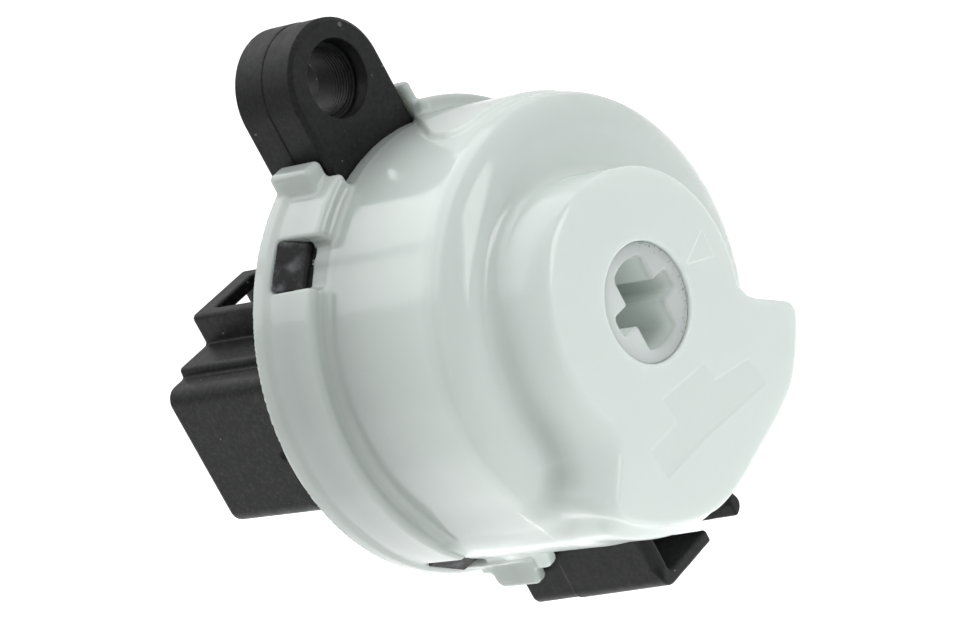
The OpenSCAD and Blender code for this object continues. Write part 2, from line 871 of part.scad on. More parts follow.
module detent_plunger(i) {
    color(nylon)
        spoke(plunger_deg[i])
            translate([0, ring_y + ring_w / 2, 0]) {
                translate([plunger_in_r, 0, 0])
                    rotate([0, 90, 0])
                        cylinder(r = plunger_r, h = plunger_len - plunger_r, $fn = 48);
                translate([tip_r - plunger_r, 0, 0])
                    sphere(r = plunger_r, $fn = 48);
            }
}

module detent_plunger_a() { detent_plunger(0); }
module detent_plunger_b() { detent_plunger(1); }

module detent_spring(i) {
    color(steel)
        spoke(plunger_deg[i])
            translate([pit_r, ring_y + ring_w / 2, 0])
                wire(coil_path(detent_spring_r, detent_wire, detent_spring_len, detent_turns),
                    detent_wire / 2, 6);
}

module detent_spring_a() { detent_spring(0); }
module detent_spring_b() { detent_spring(1); }

// Blade column and row of each terminal, and the angle of its fixed contact
function blade_x(i) = [-blade_pitch, 0, blade_pitch, -blade_pitch, blade_pitch, 0][i];
function blade_z(i) = i < 3 ? -row_low : -row_high;

// Fixed contact on the plate, leg through it and blade in the connector
module terminal_form(i, gap) {
    x = blade_x(i);
    z = blade_z(i);
    half = blade_w / 2 + gap;
    thick = blade_t / 2 + gap;
    y0 = pad_y - gap;
    y1 = pad_y + pad_t + gap;
    if (i == 5) {
        // The starter's contact lies above the pin, so its leg steps down to the blade
        low = pin_r + starter_gap;
        block([-half, y0, low - gap], [half, y1, low + starter_len + gap]);
        block([-half, y0, low - gap], [half, rear_y + pad_t + gap, low + blade_t + gap]);
        if (gap == 0) {
            block([-half, rear_y, z - thick], [half, rear_y + pad_t, low + blade_t]);
            block([-half, rear_y, z - thick], [half, blade_y, z + thick]);
        }
    } else {
        if (i == 3 || i == 4)
            block([x > 0 ? x - half : x + half - pad_len - gap, y0, z - side_pad_w / 2 - gap],
                [x > 0 ? x - half + pad_len + gap : x + half, y1, z + side_pad_w / 2 + gap]);
        else
            block([x - half, y0, z - pad_len + blade_t / 2 - gap],
                [x + half, y1, z + thick]);
        block([x - half, y0, z - thick], [x + half, blade_y + gap, z + thick]);
    }
}

module terminal(i) {
    color(tin)
        terminal_form(i, 0);
}

module terminal_battery() { terminal(0); }
module terminal_battery_aux() { terminal(1); }
module terminal_ignition() { terminal(2); }
module terminal_ignition_aux() { terminal(3); }
module terminal_accessory() { terminal(4); }
module terminal_starter() { terminal(5); }

front_housing();
rear_base();
rotor();
thrust_washer();
return_spring();
contact_carrier();
contact_plate_a();
contact_plate_b();
contact_plate_c();
contact_spring_a();
contact_spring_b();
contact_spring_c();
detent_plunger_a();
detent_plunger_b();
detent_spring_a();
detent_spring_b();
terminal_battery();
terminal_battery_aux();
terminal_ignition();
terminal_ignition_aux();
terminal_accessory();
terminal_starter();
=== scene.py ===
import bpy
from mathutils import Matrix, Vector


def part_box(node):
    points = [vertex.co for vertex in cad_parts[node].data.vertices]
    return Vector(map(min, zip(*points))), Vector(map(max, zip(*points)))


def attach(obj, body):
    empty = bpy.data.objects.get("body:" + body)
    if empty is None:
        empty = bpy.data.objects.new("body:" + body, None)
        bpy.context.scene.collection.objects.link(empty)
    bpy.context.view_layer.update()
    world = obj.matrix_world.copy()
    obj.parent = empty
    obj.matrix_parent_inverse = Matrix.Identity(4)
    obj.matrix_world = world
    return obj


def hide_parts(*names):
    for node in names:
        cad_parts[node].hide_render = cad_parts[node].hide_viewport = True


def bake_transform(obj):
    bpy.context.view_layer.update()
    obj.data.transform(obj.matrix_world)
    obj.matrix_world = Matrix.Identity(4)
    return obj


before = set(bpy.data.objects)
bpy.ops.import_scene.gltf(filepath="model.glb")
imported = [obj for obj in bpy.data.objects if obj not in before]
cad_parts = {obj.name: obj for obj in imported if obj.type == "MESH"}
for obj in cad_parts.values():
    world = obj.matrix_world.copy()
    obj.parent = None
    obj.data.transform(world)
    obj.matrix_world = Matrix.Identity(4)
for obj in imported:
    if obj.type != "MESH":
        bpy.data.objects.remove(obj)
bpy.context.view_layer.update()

from concurrent.futures import ThreadPoolExecutor

import bpy
import numpy as np
from mathutils import Matrix, Vector

# Ignition switch dressed for its photograph. The moulded pieces are described as
# distance fields in millimetres, so that every edge and foot carries its fillet,
# and are then skinned with meshes that replace the plain solids.
# The rotor axis is Y, the front looks to -Y and the screw ear stands up along +Z.

MM = 0.001

# All sizes are in millimetres. An edge, a corner and a foot are the radii of fillets.
# Cap: main wall, whose front edge is a shallow dome with a crisp corner
MAIN_R, MAIN_FACE_Y, MAIN_EDGE = 20.0, 4.8, 0.5
DOME_AT, DOME_R = 16.0, 5.0
# Boss: its left flank swells from the face to the foot along an arc
BOSS_R, BOSS_EDGE, BOSS_FOOT = 12.25, 0.35, 1.2
FLANK_R, FLANK_OUT, FLANK_Y = 5.54, 2.45, 4.6
FLANK_LEAN = (-0.45, 0.7)  # leftward share of the direction, from no swelling to all
# Flange band and rim, which the fillet at its foot brings out to 22.1
BAND_R, BAND_Y, BAND_EDGE, BAND_FOOT = 21.8, 20.5, 0.7, 0.9
RIM_R, RIM_Y, RIM_EDGE, RIM_FOOT = 22.0, 26.5, 0.25, 0.8
REAR_Y, REAR_EDGE = 27.9, 0.15
# Cavity with the detent ring and the return spring's post, and the rotor's bearing
CAVITY_R, CAVITY_EDGE, FRONT_WALL_Y = 18.0, 0.05, 7.6
SEAT_R, PLATE_Y = 19.9, 22.5
BORE_R, BORE_EDGE = 5.5, 0.2
RING_R, RING_Y0, RING_Y1, RING_EDGE = 15.3, 14.3, 18.9, 0.2
NOTCH_R, NOTCH_D = 1.95, 1.2
PLUNGER_DEG, DETENT_DEG = (0, 180), (0, 50, 85, 115)
POST_DIST, POST_DEG, POST_R, POST_END_Y, POST_EDGE = 13.2, 200.44, 0.8, 9.8, 0.2

# Tail: a wedge with a flat cut at its lower right
TAIL_R, TAIL_CORNER, TAIL_NOSE, TAIL_FOOT = 19.9, 1.3, 0.5, 1.4
TAIL_RIGHT_DEG, TAIL_RIGHT_OFF = -36.0, 1.3
TAIL_LEFT_DEG, TAIL_LEFT_OFF = 225.0, 2.0
TAIL_CUT_N, TAIL_CUT, TAIL_CUT_CORNER = (0.226, -0.974), 18.85, 1.0
TAIL_FLANK = 1.2  # share of the boss's swelling on the tail's left flank
TAIL_BLEND, TAIL_BLEND_GAIN = 1.8, 1.2  # hollow corner at the boss, and its gain per swelling
TAIL_OUT = (16.5, 19.6)  # radii over which the boss's foot gives way to the tail's
PLAN_SLOPE = 0.85  # evens out the field where the plan swells
# Sole under the tail, to which the wall swells over a run
SOLE_R, SOLE_H, SOLE_Y, SOLE_RUN = 20.65, 0.65, 2.0, 6
SOLE_CORNER, SOLE_EDGE, SOLE_FOOT = 1.2, 1.0, 1.8
# Raised mark
MARK_TIP_X, MARK_BASE_X, MARK_HALF, MARK_H = 6.4, 10.0, 1.4, 0.07
MARK_CORNER, MARK_EDGE = 0.1, 0.09
# Sunk field on the tail: its corners (X, Z), its depth and half the width of its edge
FIELD = ((-4.1, -7.7), (2.85, -8.2), (2.8, -10.1), (8.0, -11.1), (8.35, -14.1), (2.6, -13.75),
         (-1.5, -13.45), (-7.8, -13.6), (-8.2, -10.45), (-3.6, -10.4))
FIELD_DEPTH, FIELD_EDGE = 0.05, 0.15
FACE_Y = 1  # the mark and the field's shade end behind the face here
# Low pad on top of the main wall, right of the ear
PAD_R, PAD_X, PAD_Y, PAD_Z = 20.42, -1.4, 9.4, 9.0
PAD_SLANT_AT, PAD_SLANT_N = (-0.74, 14.2), (-0.767, 0.642)
PAD_CORNER, PAD_SLANT_CORNER, PAD_END_CORNER = 1.6, 1.2, 0.5
PAD_EDGE, PAD_FOOT = 0.35, 0.4

# Snap windows, the gaps that they leave in the flange, and the barbs in them
WINDOW_DEG = (131.2, 231.0, 30.0, -30.0)
WINDOW_HALF, WINDOW_Y0, WINDOW_Y1 = 2.45, 22.8, 25.8
WINDOW_CORNER, WINDOW_EDGE, GAP_CORNER, GAP_EDGE = 0.2, 0.15, 0.3, 0.35
BARB_HALF, BARB_TOP, BARB_RAMP, BARB_Y0, BARB_Y1 = 2.4, 21.9, 1.45, 22.86, 25.74
BARB_EDGE, BARB_SIDE_EDGE, BARB_FOOT = 0.2, 0.25, 0.1

# Ear: its front half, up to the seam, is slimmer
EAR_HALF, EAR_Y0, EAR_Y1, EAR_END_Z = 6.1, 22.3, 29.9, 26.7
EAR_BEVEL, EAR_REAR_EDGE = 0.4, 0.35
EAR_SEAM_Y, EAR_SEAM_R, EAR_SEAM_BLUR, EAR_SLIM = 26.1, 0.08, 0.05, 0.06
# Its hole, with a wider mouth in front, turning marks, and a counterbore at the back
EAR_HOLE_Z, EAR_HOLE_R, EAR_HOLE_DRAFT, EAR_HOLE_EDGE = 27.1, 3.15, 0.055, 0.08
EAR_MOUTH_R, EAR_MOUTH_D, EAR_MOUTH_CORNER, EAR_MOUTH_EDGE = 3.65, 1.8, 0.2, 0.12
EAR_RING_END_Y, EAR_RING_PITCH, EAR_RING = 26.6, 0.34, 0.016
EAR_BACK_R, EAR_BACK_D, EAR_BACK_Z = 3.7, 1.8, 28.2
# The cap's opening for it, and the cap's tabs beside it: x0, x1, top, edge, y0, y1
EAR_CUT, EAR_CUT_Y, EAR_GAP_EDGE, OPENING_EDGE = 6.2, 22.2, 0.8, 0.2
TABS = ((-8.5, -6.2, 22.4, 0.6, 22.6, 27.8), (6.2, 7.3, 22.7, 0.54, 21.9, 27.3))
TAB_FOOT = 0.35

# Hook arm: hollow, with a slanted front up to an X, a slot and a step in its left side
HOOK_X0, HOOK_X1, HOOK_WALL, HOOK_Z = -6.8, 6.4, 1.3, -26.4
HOOK_Y0, HOOK_Y1, HOOK_TILT, HOOK_EDGE = 7.9, 25.1, 2.2, 1.2
HOOK_SLANT, HOOK_SLANT_X = 0.06, 3
HOOK_FRONT_EDGE, HOOK_FRONT_GAIN = 0.3, 0.8  # at the arm's underside, and what it gains above
HOOK_FRONT_Z0, HOOK_FRONT_Z1 = HOOK_Z + 1.0, HOOK_Z + 2.4
HOOK_STEP_Y, HOOK_STEP, HOOK_STEP_BLUR = 19.6, 0.12, 0.1
HOOK_ROOM_CORNER, HOOK_ROOM_EDGE, HOOK_CLEAR_R = 0.4, 0.25, 21.15
SLOT_X0, SLOT_Y1, SLOT_CORNER, SLOT_EDGE = 1.2, 19.9, 0.3, 0.2
# The cap's opening for it, and the cap's cheeks and lugs beside it
HOOK_CUT_X0, HOOK_CUT_X1, HOOK_CUT_Y, HOOK_GAP_EDGE = -6.9, 6.5, 22.4, 0.5
CHEEKS = ((-8.3, -7.1), (6.5, 7.7))
CHEEK_Y0, CHEEK_Z, CHEEK_EDGE, CHEEK_SIDE_EDGE, CHEEK_FOOT = 18.8, -21.3, 0.9, 0.3, 0.3
LUG_Y0, LUG_Y1, LUG_Z, LUG_FOOT = 21.2, 26.8, -22.95, 0.4

# Base plate, with the feet of the ear and the arm on it
PLATE_R, PLATE_EDGE, ARM_FOOT = 19.82, 0.2, 0.3
PIN_HOLE_R, PIN_HOLE_Y = 2.45, 24.95
# Connector, with the two steps of its latch, the strap's window and a small pit
CONN_HALF, CONN_LOW, CONN_TOP, CONN_EDGE, CONN_EDGE_MIN = 11.8, -11.0, 4.0, 1.5, 0.3
SHOULDER_HALF, SHOULDER_Z, LATCH_HALF, LATCH_Z = 8.8, 5.0, 4.3, 8.1
STEP_CORNER, STEP_FOOT = 0.5, 0.25
CONN_WALL, CONN_FOOT, MOUTH_Y, MOUTH_EDGE = 1.3, 0.5, 52.3, 0.35
INSIDE_CORNER, INSIDE_EDGE = 0.3, 0.25
STRAP_Y0, STRAP_Y1, STRAP_CORNER, STRAP_EDGE = 40.9, 49.9, 0.4, 0.25
PIT_X, PIT_Y, PIT_Z, PIT_R, PIT_EDGE = -CONN_HALF - 0.1, 40.8, -4.2, 0.5, 0.08

# Rotor
ROTOR_R, ROTOR_Y, ROTOR_EDGE, ROTOR_LIP, ROTOR_LIP_Y = 5.44, 0.3, 0.08, 0.03, 4
COLLAR_R, COLLAR_Y0, COLLAR_Y1, COLLAR_EDGE = 7.2, 8.2, 12.3, 0.2
HUB_R, HUB_Y, HUB_EDGE = 4.5, 20.1, 0.2
PIN_R, PIN_Y, PIN_EDGE, SHAFT_FOOT = 2.4, 24.9, 0.3, 0.1
SOCKET_R, SOCKET_HALF_X, SOCKET_HALF_Z, SOCKET_D = 4.2, 2.1, 1.0, 9.0
SOCKET_CORNER, SOCKET_CROSS, SOCKET_END, SOCKET_EDGE = 0.3, 0.35, 0.2, 0.35

# How far joined forms run into one another
OVERLAP, ROOT = 1, 2

# Wire of the springs, as packed
RETURN_WIRE, CONTACT_WIRE, DETENT_WIRE = 0.9, 0.5, 0.4


# Distance fields

def either(a, b, r=0.0):
    """Union, with a hollow fillet of radius r where the surfaces meet."""
    if np.isscalar(r) and r == 0:
        return np.minimum(a, b)
    fillet = np.hypot(np.maximum(r - a, 0), np.maximum(r - b, 0))
    return np.maximum(r, np.minimum(a, b)) - fillet


def both(a, b, r=0.0):
    """Intersection, with its edge rounded to radius r."""
    return -either(-a, -b, r)


def minus(a, b, r=0.0):
    """a without b, the edges of the cut rounded to radius r."""
    return -either(-a, b, r)


def span(v, low, high):
    return np.abs(v - (low + high) / 2) - (high - low) / 2


def step(v, low, high):
    """Smooth rise from 0 at low to 1 at high."""
    t = np.clip((v - low) / (high - low), 0, 1)
    return t * t * (3 - 2 * t)


def across(x, z, deg, off):
    """Distance past a line through the axis plane, on the left of its direction."""
    a = np.radians(deg)
    return -np.sin(a) * x + np.cos(a) * z - off


def turned_to(x, z, deg):
    """Radial and tangential coordinates for an angle seen from the front."""
    a = np.radians(deg)
    return np.cos(a) * x + np.sin(a) * z, -np.sin(a) * x + np.cos(a) * z


def round_box(u, v, u0, u1, v0, v1, r):
    qu = span(u, u0, u1) + r
    qv = span(v, v0, v1) + r
    return np.hypot(np.maximum(qu, 0), np.maximum(qv, 0)) + np.minimum(np.maximum(qu, qv), 0) - r


def tail_wedge(x, z, inset=0.0, swell=0.0):
    """The tail's plan between its two flanks, of which the left one may swell."""
    right = across(x, z, TAIL_RIGHT_DEG, TAIL_RIGHT_OFF - inset)
    left = -across(x, z, TAIL_LEFT_DEG, -TAIL_LEFT_OFF + inset)
    return both(right, left - swell, TAIL_NOSE)


def bevel(a, b, width):
    """Intersection with a flat bevel along its edge."""
    return np.maximum(np.maximum(a, b), (a + b + width) * np.sqrt(0.5))


def triangle(x, z):
    """The mark, which points at the rotor."""
    length = MARK_BASE_X - MARK_TIP_X
    rise = np.hypot(length, MARK_HALF)
    flank = (np.abs(z) * length - (x - MARK_TIP_X) * MARK_HALF) / rise
    return both(flank, x - MARK_BASE_X, MARK_CORNER)


def outline(x, z, corners):
    """Distance to a polygon, below zero inside."""
    near, sign = np.inf, 1.0
    for (ax, az), (bx, bz) in zip(corners, corners[1:] + corners[:1]):
        ex, ez, wx, wz = bx - ax, bz - az, x - ax, z - az
        t = np.clip((wx * ex + wz * ez) / (ex * ex + ez * ez), 0, 1)
        near = np.minimum(near, (wx - ex * t) ** 2 + (wz - ez * t) ** 2)
        low, high, left = z >= az, z < bz, ex * wz > ez * wx
        sign = np.where((low & high & left) | ~(low | high | left), -sign, sign)
    return sign * np.sqrt(near)


def tail_field(x, z):
    """1 in the sunk field on the tail, falling to 0 over its edge."""
    z = z[:, :1] if z.ndim == 3 else z  # on a grid, one row is the same for every Y
    return step(-outline(x, z, FIELD), -FIELD_EDGE, FIELD_EDGE)


def cap_cavity(x, y, z, rad):
    """The room behind the front wall, less the detent ring and the spring's post."""
    room = np.maximum(rad - CAVITY_R, FRONT_WALL_Y - y)
    room = np.minimum(room, np.maximum(rad - SEAT_R, PLATE_Y - y))
    ring = both(RING_R - rad, span(y, RING_Y0, RING_Y1), RING_EDGE)
    for plunger in PLUNGER_DEG:
        for detent in DETENT_DEG:
            u, t = turned_to(x, z, plunger - detent)
            notch = np.hypot(t, y - (RING_Y0 + RING_Y1) / 2) - NOTCH_R
            notch = np.maximum(np.maximum(notch, u - RING_R - NOTCH_D), -u)
            ring = np.maximum(ring, -notch)
    a = np.radians(POST_DEG)
    post = np.hypot(x - POST_DIST * np.cos(a), z - POST_DIST * np.sin(a)) - POST_R
    post = both(post, y - POST_END_Y, POST_EDGE)
    return np.maximum(np.maximum(room, -ring), -post)


def cap_front(x, y, z, rad):
    """Main wall with the boss, the tail, the sole, the mark and the pad."""
    left = across(x, z, TAIL_LEFT_DEG, -TAIL_LEFT_OFF + SOLE_H)
    wall_swell = SOLE_H * step(left, -SOLE_RUN, 0) * step(-x, 0, SOLE_RUN) * (z < 0)
    dome = np.hypot(np.maximum(rad - DOME_AT, 0), np.minimum(y - MAIN_FACE_Y - DOME_R, 0))
    body = both(rad - MAIN_R - wall_swell, dome - DOME_R, MAIN_EDGE)
    # Boss and tail are one plan with hollow corners
    rise = np.clip(FLANK_Y - y, 0, FLANK_Y)
    swell = np.sqrt(FLANK_R ** 2 - rise ** 2) - FLANK_R + FLANK_OUT
    wedge = both(tail_wedge(x, z, 0, TAIL_FLANK * swell), rad - TAIL_R, TAIL_CORNER)
    cut = TAIL_CUT_N[0] * x + TAIL_CUT_N[1] * z - TAIL_CUT
    wedge = both(wedge, cut, TAIL_CUT_CORNER)
    boss = rad - BOSS_R - swell * step(-x / np.maximum(rad, 1), *FLANK_LEAN)
    plan = either(boss, wedge, TAIL_BLEND + TAIL_BLEND_GAIN * swell) * PLAN_SLOPE
    raised = both(plan, FIELD_DEPTH * tail_field(x, z) - y, BOSS_EDGE)
    raised = np.maximum(raised, y - FRONT_WALL_Y)
    out = step(rad, *TAIL_OUT)
    body = either(body, raised, BOSS_FOOT + (TAIL_FOOT - BOSS_FOOT) * out)
    sole = both(rad - SOLE_R, tail_wedge(x, z, SOLE_H), SOLE_CORNER)
    body = either(body, both(sole, SOLE_Y - y, SOLE_EDGE), SOLE_FOOT)
    mark = both(triangle(x, z), -MARK_H - y, MARK_EDGE)
    body = either(body, np.maximum(mark, y - FACE_Y), MARK_EDGE)
    slant = PAD_SLANT_N[0] * (x - PAD_SLANT_AT[0]) + PAD_SLANT_N[1] * (y - PAD_SLANT_AT[1])
    pad = both(both(PAD_Y - y, PAD_X - x, PAD_CORNER), slant, PAD_SLANT_CORNER)
    pad = both(pad, PAD_Z - z, PAD_END_CORNER)
    return either(body, both(pad, rad - PAD_R, PAD_EDGE), PAD_FOOT)


def cap_flange(x, y, z, rad):
    """Band and rim, open at the ear, the hook arm and the windows."""
    band = both(rad - BAND_R, BAND_Y - y, BAND_EDGE)
    rim = both(rad - RIM_R, RIM_Y - y, RIM_EDGE)
    flange = either(band, rim, RIM_FOOT)
    flange = minus(flange, np.maximum(np.abs(x) - EAR_CUT, -z), EAR_GAP_EDGE)
    flange = minus(flange, np.maximum(span(x, HOOK_CUT_X0, HOOK_CUT_X1), z), HOOK_GAP_EDGE)
    for deg in WINDOW_DEG:
        u, t = turned_to(x, z, deg)
        gap = both(np.abs(t) - WINDOW_HALF, y - WINDOW_Y1, GAP_CORNER)
        flange = minus(flange, np.maximum(gap, -u), GAP_EDGE)
    return flange


def cap_shape(x, y, z):
    rad = np.hypot(x, z)
    body = either(cap_front(x, y, z, rad), cap_flange(x, y, z, rad), BAND_FOOT)
    # Ear tabs, and the cheeks with their lugs beside the hook arm
    for x0, x1, top, edge, y0, y1 in TABS:
        tab = both(np.maximum(span(x, x0, x1), CAVITY_R - z), z - top, edge)
        body = either(body, both(tab, span(y, y0, y1), edge), TAB_FOOT)
    cheek = both(CHEEK_Y0 - y, CHEEK_Z - z, CHEEK_EDGE)
    lug = both(span(y, LUG_Y0, LUG_Y1), LUG_Z - z, CHEEK_EDGE)
    side = np.maximum(either(cheek, lug, LUG_FOOT), z + CAVITY_R)
    for x0, x1 in CHEEKS:
        body = either(body, both(side, span(x, x0, x1), CHEEK_SIDE_EDGE), CHEEK_FOOT)
    # Openings through the wall
    body = both(body, y - REAR_Y, REAR_EDGE)
    ear = np.maximum(np.maximum(np.abs(x) - EAR_CUT, EAR_CUT_Y - y), -z)
    hook = np.maximum(np.maximum(span(x, HOOK_CUT_X0, HOOK_CUT_X1), HOOK_CUT_Y - y), z)
    body = minus(minus(body, ear, OPENING_EDGE), hook, OPENING_EDGE)
    for deg in WINDOW_DEG:
        u, t = turned_to(x, z, deg)
        hole = both(np.abs(t) - WINDOW_HALF, span(y, WINDOW_Y0, WINDOW_Y1), WINDOW_CORNER)
        body = minus(body, np.maximum(hole, -u), WINDOW_EDGE)
    body = minus(body, cap_cavity(x, y, z, rad), CAVITY_EDGE)
    return minus(body, rad - BORE_R, BORE_EDGE)


def connector_plan(x, z, inset):
    """Outline of the connector with the two steps of its latch, drawn in by inset."""
    edge = max(CONN_EDGE - inset, CONN_EDGE_MIN)
    plan = round_box(x, z, -CONN_HALF + inset, CONN_HALF - inset,
                     CONN_LOW + inset, CONN_TOP - inset, edge)
    for half, top in ((SHOULDER_HALF, SHOULDER_Z), (LATCH_HALF, LATCH_Z)):
        step_up = round_box(x, z, -half + inset, half - inset,
                            CONN_LOW / 2, top - inset, STEP_CORNER)
        plan = either(plan, step_up, STEP_FOOT)
    return plan


def ear_shape(x, y, z):
    plan = np.hypot(x, np.maximum(z - EAR_END_Z, 0)) - EAR_HALF
    plan = plan + EAR_SLIM * step(EAR_SEAM_Y - y, -EAR_SEAM_BLUR, EAR_SEAM_BLUR)
    ear = both(bevel(plan, EAR_Y0 - y, EAR_BEVEL), y - EAR_Y1, EAR_REAR_EDGE)
    ear = np.maximum(ear, EAR_SEAM_R - np.hypot(plan, y - EAR_SEAM_Y))
    ear = np.maximum(ear, CAVITY_R - z)
    rad = np.hypot(x, z - EAR_HOLE_Z)
    deep = y - EAR_Y0 - EAR_MOUTH_D
    mouth = both(rad - EAR_MOUTH_R, deep, EAR_MOUTH_CORNER)
    rings = EAR_RING * np.cos(y * 2 * np.pi / EAR_RING_PITCH) * step(EAR_RING_END_Y - y, 0, 1)
    hole = rad - EAR_HOLE_R + EAR_HOLE_DRAFT * np.maximum(deep, 0) - rings
    back = np.hypot(x, z - EAR_BACK_Z) - EAR_BACK_R
    back = both(back, EAR_Y1 - EAR_BACK_D - y, EAR_MOUTH_CORNER)
    ear = minus(minus(ear, mouth, EAR_MOUTH_EDGE), back, EAR_MOUTH_EDGE)
    return minus(ear, hole, EAR_HOLE_EDGE)


def hook_shape(x, y, z):
    lean = z - np.tan(np.radians(HOOK_TILT)) * (HOOK_Y1 - y)
    arm = round_box(x, lean, HOOK_X0, HOOK_X1, HOOK_Z, -HOOK_Z, HOOK_EDGE)
    behind = step(y, HOOK_STEP_Y - HOOK_STEP_BLUR, HOOK_STEP_Y + HOOK_STEP_BLUR)
    arm = arm + HOOK_STEP * behind * (x < 0)
    front = HOOK_Y0 + HOOK_SLANT * np.where(x < HOOK_SLANT_X, x - HOOK_X0, 0) - y
    above = step(lean, HOOK_FRONT_Z0, HOOK_FRONT_Z1)
    arm = both(arm, front, HOOK_FRONT_EDGE + HOOK_FRONT_GAIN * above)
    arm = np.maximum(np.maximum(arm, y - HOOK_Y1), z + PLATE_R - ROOT)
    room = round_box(x, lean, HOOK_X0 + HOOK_WALL, HOOK_X1 - HOOK_WALL,
                     HOOK_Z + HOOK_WALL, -HOOK_Z, HOOK_ROOM_CORNER)
    arm = minus(arm, np.maximum(room, y - PLATE_Y), HOOK_ROOM_EDGE)
    slot = both(span(x, SLOT_X0, HOOK_X1 - HOOK_WALL), y - SLOT_Y1, SLOT_CORNER)
    arm = minus(arm, slot, SLOT_EDGE)
    clear = np.maximum(np.hypot(x, z) - HOOK_CLEAR_R, y - PLATE_Y)
    return minus(arm, clear, HOOK_ROOM_EDGE)


def base_shape(x, y, z):
    rad = np.hypot(x, z)
    body = both(rad - PLATE_R, span(y, PLATE_Y, REAR_Y), PLATE_EDGE)
    body = minus(body, np.maximum(rad - PIN_HOLE_R, y - PIN_HOLE_Y))
    body = either(body, ear_shape(x, y, z), ARM_FOOT)
    body = either(body, hook_shape(x, y, z), ARM_FOOT)
    shell = both(connector_plan(x, z, 0), y - MOUTH_Y, MOUTH_EDGE)
    shell = np.maximum(shell, REAR_Y - OVERLAP - y)
    body = either(body, shell, CONN_FOOT)
    inside = both(connector_plan(x, z, CONN_WALL), REAR_Y - y, INSIDE_CORNER)
    body = minus(body, inside, INSIDE_EDGE)
    pit = np.sqrt((x - PIT_X) ** 2 + (y - PIT_Y) ** 2 + (z - PIT_Z) ** 2) - PIT_R
    body = minus(body, pit, PIT_EDGE)
    window = round_box(x, y, -LATCH_HALF + CONN_WALL, LATCH_HALF - CONN_WALL,
                       STRAP_Y0, STRAP_Y1, STRAP_CORNER)
    body = minus(body, np.maximum(window, SHOULDER_Z - z), STRAP_EDGE)
    ramp_top = BARB_TOP - BARB_RAMP * (BARB_Y1 - y) / (BARB_Y1 - BARB_Y0)
    for deg in WINDOW_DEG:
        u, t = turned_to(x, z, deg)
        barb = both(u - ramp_top, span(y, BARB_Y0, BARB_Y1), BARB_EDGE)
        barb = both(barb, np.abs(t) - BARB_HALF, BARB_SIDE_EDGE)
        body = either(body, np.maximum(barb, PLATE_R - ROOT - u), BARB_FOOT)
    return body


def rotor_shape(x, y, z):
    rad = np.hypot(x, z)
    lip = ROTOR_LIP * step(ROTOR_LIP_Y - y, 0, 1)
    body = both(rad - ROTOR_R - lip, span(y, ROTOR_Y, COLLAR_Y0 + OVERLAP), ROTOR_EDGE)
    for radius, y0, y1, edge in ((COLLAR_R, COLLAR_Y0, COLLAR_Y1, COLLAR_EDGE),
                                 (HUB_R, COLLAR_Y1 - OVERLAP, HUB_Y, HUB_EDGE),
                                 (PIN_R, HUB_Y - OVERLAP, PIN_Y, PIN_EDGE)):
        body = either(body, both(rad - radius, span(y, y0, y1), edge), SHAFT_FOOT)
    upright = both(np.abs(x) - SOCKET_HALF_X, rad - SOCKET_R, SOCKET_CORNER)
    level = both(np.abs(z) - SOCKET_HALF_Z, rad - SOCKET_R, SOCKET_CORNER)
    cross = either(upright, level, SOCKET_CROSS)
    socket = both(cross, y - ROTOR_Y - SOCKET_D, SOCKET_END)
    return minus(body, socket, SOCKET_EDGE)


# Skins

THREADS, SLAB = 4, 6  # workers, and grid lines in a slice
SLOPE_MIN = 0.05  # keeps a step onto the surface finite where the field is flat
# The glow is a painted highlight: a paler tint on the cap's sharp edges
GLOW_BEND = (0.4, 2.0)  # how sharp an edge is for no glow and for all of it
GLOW_CLEAR = (0.5, 1.0)  # distance from the mark, whose edges don't glow
FIELD_SHADE = 0.035


def sample(shape, xs, ys, zs):
    """The field on a grid, worked out slice by slice on all cores."""
    y, z = np.meshgrid(ys, zs, indexing="ij")

    def slab(part):
        return shape(part[:, None, None], y[None], z[None]).astype(np.float32)

    with ThreadPoolExecutor(THREADS) as pool:
        parts = list(pool.map(slab, np.array_split(xs, max(len(xs) // SLAB, 1))))
    return np.concatenate(parts)


def surface_net(field, lines):
    """Vertices and four-sided faces of the zero level, one vertex in each cut cell."""
    size = np.array(field.shape)
    strides = np.array([size[1] * size[2], size[2], 1])
    ids, points, faces = [], [], []
    for axis in range(3):
        order = (axis, (axis + 1) % 3, (axis + 2) % 3)
        f = np.transpose(field, order)
        cut = np.nonzero((f[:-1] < 0) != (f[1:] < 0))
        at = f[cut]
        t = at / (at - f[cut[0] + 1, cut[1], cut[2]])
        point = np.empty((len(t), 3))
        along = lines[axis]
        point[:, axis] = along[cut[0]] + t * (along[cut[0] + 1] - along[cut[0]])
        for k in (1, 2):
            point[:, order[k]] = lines[order[k]][cut[k]]
        base = sum(cut[k] * strides[order[k]] for k in range(3))
        s1, s2 = strides[order[1]], strides[order[2]]
        quad = np.stack([base - s1 - s2, base - s2, base, base - s1], 1)
        ids.append(quad.ravel())
        points.append(np.repeat(point, 4, axis=0))
        outward = at >= 0
        quad[outward] = quad[outward][:, ::-1]
        faces.append(quad)
    keys, place = np.unique(np.concatenate(ids), return_inverse=True)
    points = np.concatenate(points)
    count = np.bincount(place)
    vertices = np.stack([np.bincount(place, points[:, k]) / count for k in range(3)], 1)
    return vertices, np.searchsorted(keys, np.concatenate(faces))


def gradient(shape, v, reach=0.02):
    """The field's slope at points, by differences."""
    out = np.empty_like(v)
    for k in range(3):
        ahead, behind = v.copy(), v.copy()
        ahead[:, k] += reach
        behind[:, k] -= reach
        out[:, k] = (shape(*ahead.T) - shape(*behind.T)) / (2 * reach)
    return out


def bend(shape, v, reach=0.5):
    """How sharply the surface turns, above zero on edges and below it in creases."""
    total = -6 * shape(*v.T)
    for k in range(3):
        for side in (-reach, reach):
            near = v.copy()
            near[:, k] += side
            total = total + shape(*near.T)
    return total / reach ** 2


